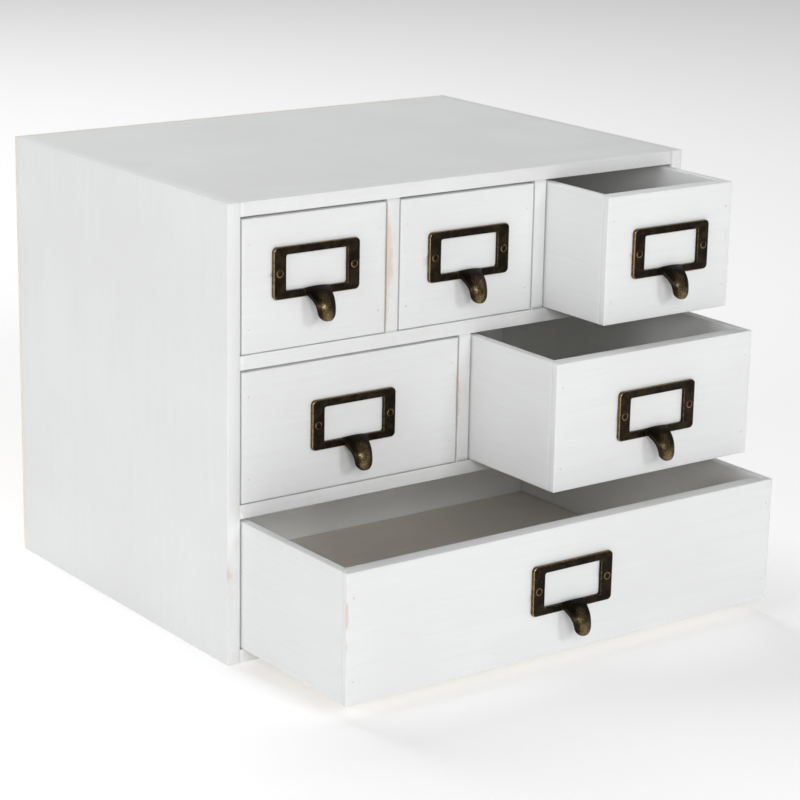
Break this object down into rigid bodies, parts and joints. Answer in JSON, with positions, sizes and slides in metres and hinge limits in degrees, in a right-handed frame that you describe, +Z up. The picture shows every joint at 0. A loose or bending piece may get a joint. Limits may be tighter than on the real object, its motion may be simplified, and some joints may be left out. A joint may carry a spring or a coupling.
{
  "type": "apothecary cabinet",
  "caption": "Desktop apothecary cabinet: a painted wooden carcass with small drawers in three rows, each with a metal label holder and finger pull.",
  "frame": {"origin": "centre of the underside of the carcass, drawers not counted", "axes": "+Z up, -Y out of the drawer fronts, +X to the right as seen from the front"},
  "size_m": [0.32, 0.3527, 0.26],
  "materials": {
    "painted_wood": "white brushed paint over close-grained softwood, worn at a few edges",
    "plywood_panel": "thin plywood with one thin coat of white paint",
    "aged_brass": "dark antique finish, rubbed bright on raised edges",
    "screw_brass": "dark antique finish, dull in the driver recess"
  },
  "bodies": {
    "carcass": {"side_left": "painted_wood", "side_right": "painted_wood", "top_panel": "painted_wood", "bottom_panel": "painted_wood", "back_panel": "plywood_panel", "shelf_upper": "painted_wood", "shelf_lower": "painted_wood", "divider_upper_left": "painted_wood", "divider_upper_right": "painted_wood", "divider_middle": "painted_wood"},
    "drawer_top_left": {"top_left_front": "painted_wood", "top_left_side_left": "painted_wood", "top_left_side_right": "painted_wood", "top_left_back": "painted_wood", "top_left_bottom": "plywood_panel", "top_left_label_holder": "aged_brass", "top_left_screw_left": "screw_brass", "top_left_screw_right": "screw_brass"},
    "drawer_top_middle": {"top_middle_front": "painted_wood", "top_middle_side_left": "painted_wood", "top_middle_side_right": "painted_wood", "top_middle_back": "painted_wood", "top_middle_bottom": "plywood_panel", "top_middle_label_holder": "aged_brass", "top_middle_screw_left": "screw_brass", "top_middle_screw_right": "screw_brass"},
    "drawer_top_right": {"top_right_front": "painted_wood", "top_right_side_left": "painted_wood", "top_right_side_right": "painted_wood", "top_right_back": "painted_wood", "top_right_bottom": "plywood_panel", "top_right_label_holder": "aged_brass", "top_right_screw_left": "screw_brass", "top_right_screw_right": "screw_brass"},
    "drawer_middle_left": {"middle_left_front": "painted_wood", "middle_left_side_left": "painted_wood", "middle_left_side_right": "painted_wood", "middle_left_back": "painted_wood", "middle_left_bottom": "plywood_panel", "middle_left_label_holder": "aged_brass", "middle_left_screw_left": "screw_brass", "middle_left_screw_right": "screw_brass"},
    "drawer_middle_right": {"middle_right_front": "painted_wood", "middle_right_side_left": "painted_wood", "middle_right_side_right": "painted_wood", "middle_right_back": "painted_wood", "middle_right_bottom": "plywood_panel", "middle_right_label_holder": "aged_brass", "middle_right_screw_left": "screw_brass", "middle_right_screw_right": "screw_brass"},
    "drawer_bottom": {"bottom_front": "painted_wood", "bottom_side_left": "painted_wood", "bottom_side_right": "painted_wood", "bottom_back": "painted_wood", "bottom_bottom": "plywood_panel", "bottom_label_holder": "aged_brass", "bottom_screw_left": "screw_brass", "bottom_screw_right": "screw_brass"}
  },
  "joints": [
    {"name": "slide_top_left", "type": "slide", "parent": "carcass", "child": "drawer_top_left", "axis": [0, -1, 0], "range_m": [0, 0.19]},
    {"name": "slide_top_middle", "type": "slide", "parent": "carcass", "child": "drawer_top_middle", "axis": [0, -1, 0], "range_m": [0, 0.19]},
    {"name": "slide_top_right", "type": "slide", "parent": "carcass", "child": "drawer_top_right", "axis": [0, -1, 0], "range_m": [-0.054, 0.136]},
    {"name": "slide_middle_left", "type": "slide", "parent": "carcass", "child": "drawer_middle_left", "axis": [0, -1, 0], "range_m": [0, 0.19]},
    {"name": "slide_middle_right", "type": "slide", "parent": "carcass", "child": "drawer_middle_right", "axis": [0, -1, 0], "range_m": [-0.077, 0.113]},
    {"name": "slide_bottom", "type": "slide", "parent": "carcass", "child": "drawer_bottom", "axis": [0, -1, 0], "range_m": [-0.101, 0.089]}
  ]
}
